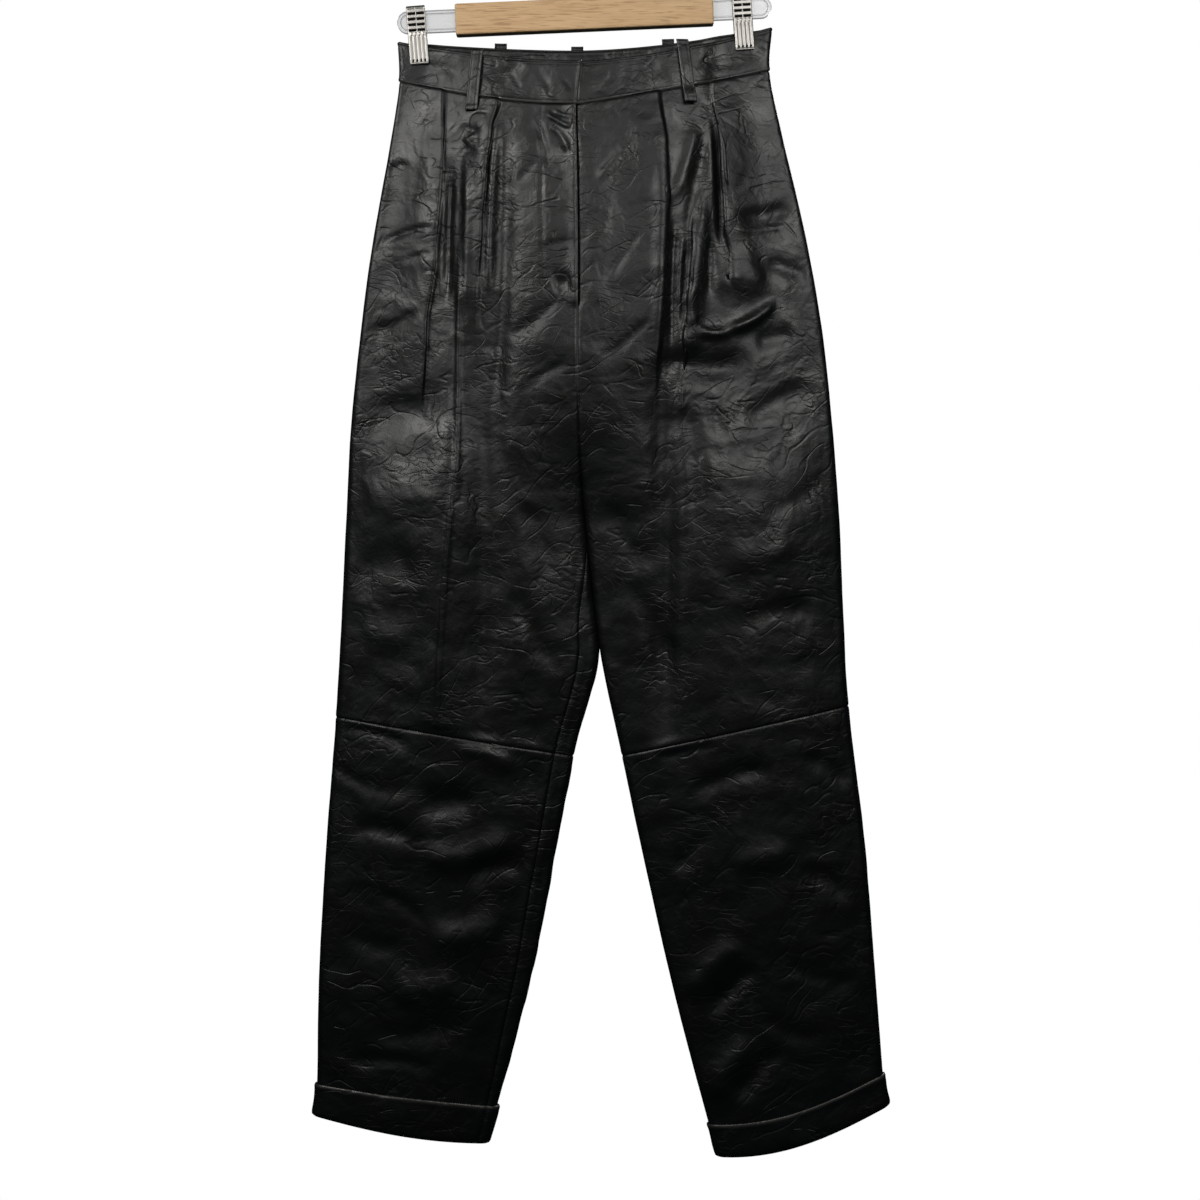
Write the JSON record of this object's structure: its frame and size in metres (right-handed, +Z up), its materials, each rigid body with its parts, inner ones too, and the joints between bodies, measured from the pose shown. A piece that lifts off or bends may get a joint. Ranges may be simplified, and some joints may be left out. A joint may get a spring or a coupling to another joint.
{
  "type": "pleated leather trousers on a clip hanger",
  "caption": "High-waist pleated leather trousers with a fly front, belt loops, knee seams and turn-up cuffs, hanging by the waistband from a wood and clear-bar clip hanger.",
  "frame": {"origin": "the top of the inside of the hanger's hook, where it rests on a rail", "axes": "+Z up, the front of the trousers faces -Y, +X towards the right side as seen from the front"},
  "size_m": [0.5204, 0.0681, 1.1361],
  "materials": {
    "leather": "black, crinkled, satin sheen",
    "hanger_wood": "light beech, satin lacquer",
    "hanger_clear": "clear moulded acrylic",
    "hanger_metal": "satin nickel plate"
  },
  "bodies": {
    "root": {"front_left": "leather", "front_right": "leather", "back_left": "leather", "back_right": "leather", "shin_front_left": "leather", "shin_front_right": "leather", "shin_back_left": "leather", "shin_back_right": "leather", "cuff_left": "leather", "cuff_right": "leather", "waistband_front_left": "leather", "waistband_front_right": "leather", "waistband_back": "leather", "belt_loop_front_left": "leather", "belt_loop_front_right": "leather", "belt_loop_back_left": "leather", "belt_loop_back_centre": "leather", "belt_loop_back_right": "leather", "hanger_wood": "hanger_wood", "hanger_bar": "hanger_clear", "clip_left": "hanger_metal", "clip_right": "hanger_metal", "hook": "hanger_metal"}
  },
  "joints": []
}
